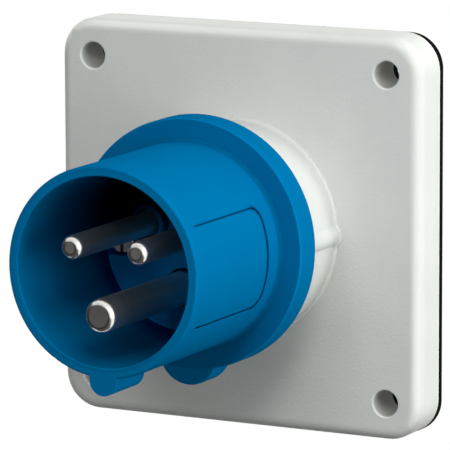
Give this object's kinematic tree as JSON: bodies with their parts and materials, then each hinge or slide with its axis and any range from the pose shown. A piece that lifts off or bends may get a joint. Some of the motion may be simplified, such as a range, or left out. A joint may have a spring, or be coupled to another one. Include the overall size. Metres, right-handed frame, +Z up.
{
  "type": "industrial pin and sleeve panel inlet",
  "caption": "Square-flanged pin and sleeve appliance inlet: grey plate and round collar, blue keyed sleeve with contact pins inside, rubber gasket behind.",
  "frame": {"origin": "on the contact axis, in the plane of the gasket's back face, which meets the panel", "axes": "-Y along the contact axis toward the front rim, +Z up with the key at the bottom, +X to the right of someone facing the inlet"},
  "size_m": [0.086, 0.0726, 0.086],
  "materials": {
    "grey_housing": "fine texture",
    "blue_sleeve": "satin",
    "blue_carrier": "satin",
    "black_rubber": "matt",
    "black_insulation": "satin",
    "nickel_pin": "nickel plated, polished",
    "zinc_steel": "zinc plated",
    "insert_brass": "plain"
  },
  "bodies": {
    "root": {"mounting_flange": "grey_housing", "flange_gasket": "black_rubber", "inlet_housing": "blue_sleeve", "housing_seal": "black_rubber", "contact_carrier": "blue_carrier", "carrier_back": "black_insulation", "carrier_back_screw": "zinc_steel", "carrier_retainer": "black_insulation", "pin_line": "nickel_pin", "pin_neutral": "nickel_pin", "pin_earth": "nickel_pin", "terminal_screw_line": "zinc_steel", "terminal_screw_neutral": "zinc_steel", "terminal_screw_earth": "zinc_steel", "wire_clamp_line": "zinc_steel", "wire_clamp_neutral": "zinc_steel", "wire_clamp_earth": "zinc_steel", "housing_screw_left": "zinc_steel", "housing_screw_right": "zinc_steel", "post_insert_left": "insert_brass", "post_insert_right": "insert_brass"}
  },
  "joints": []
}
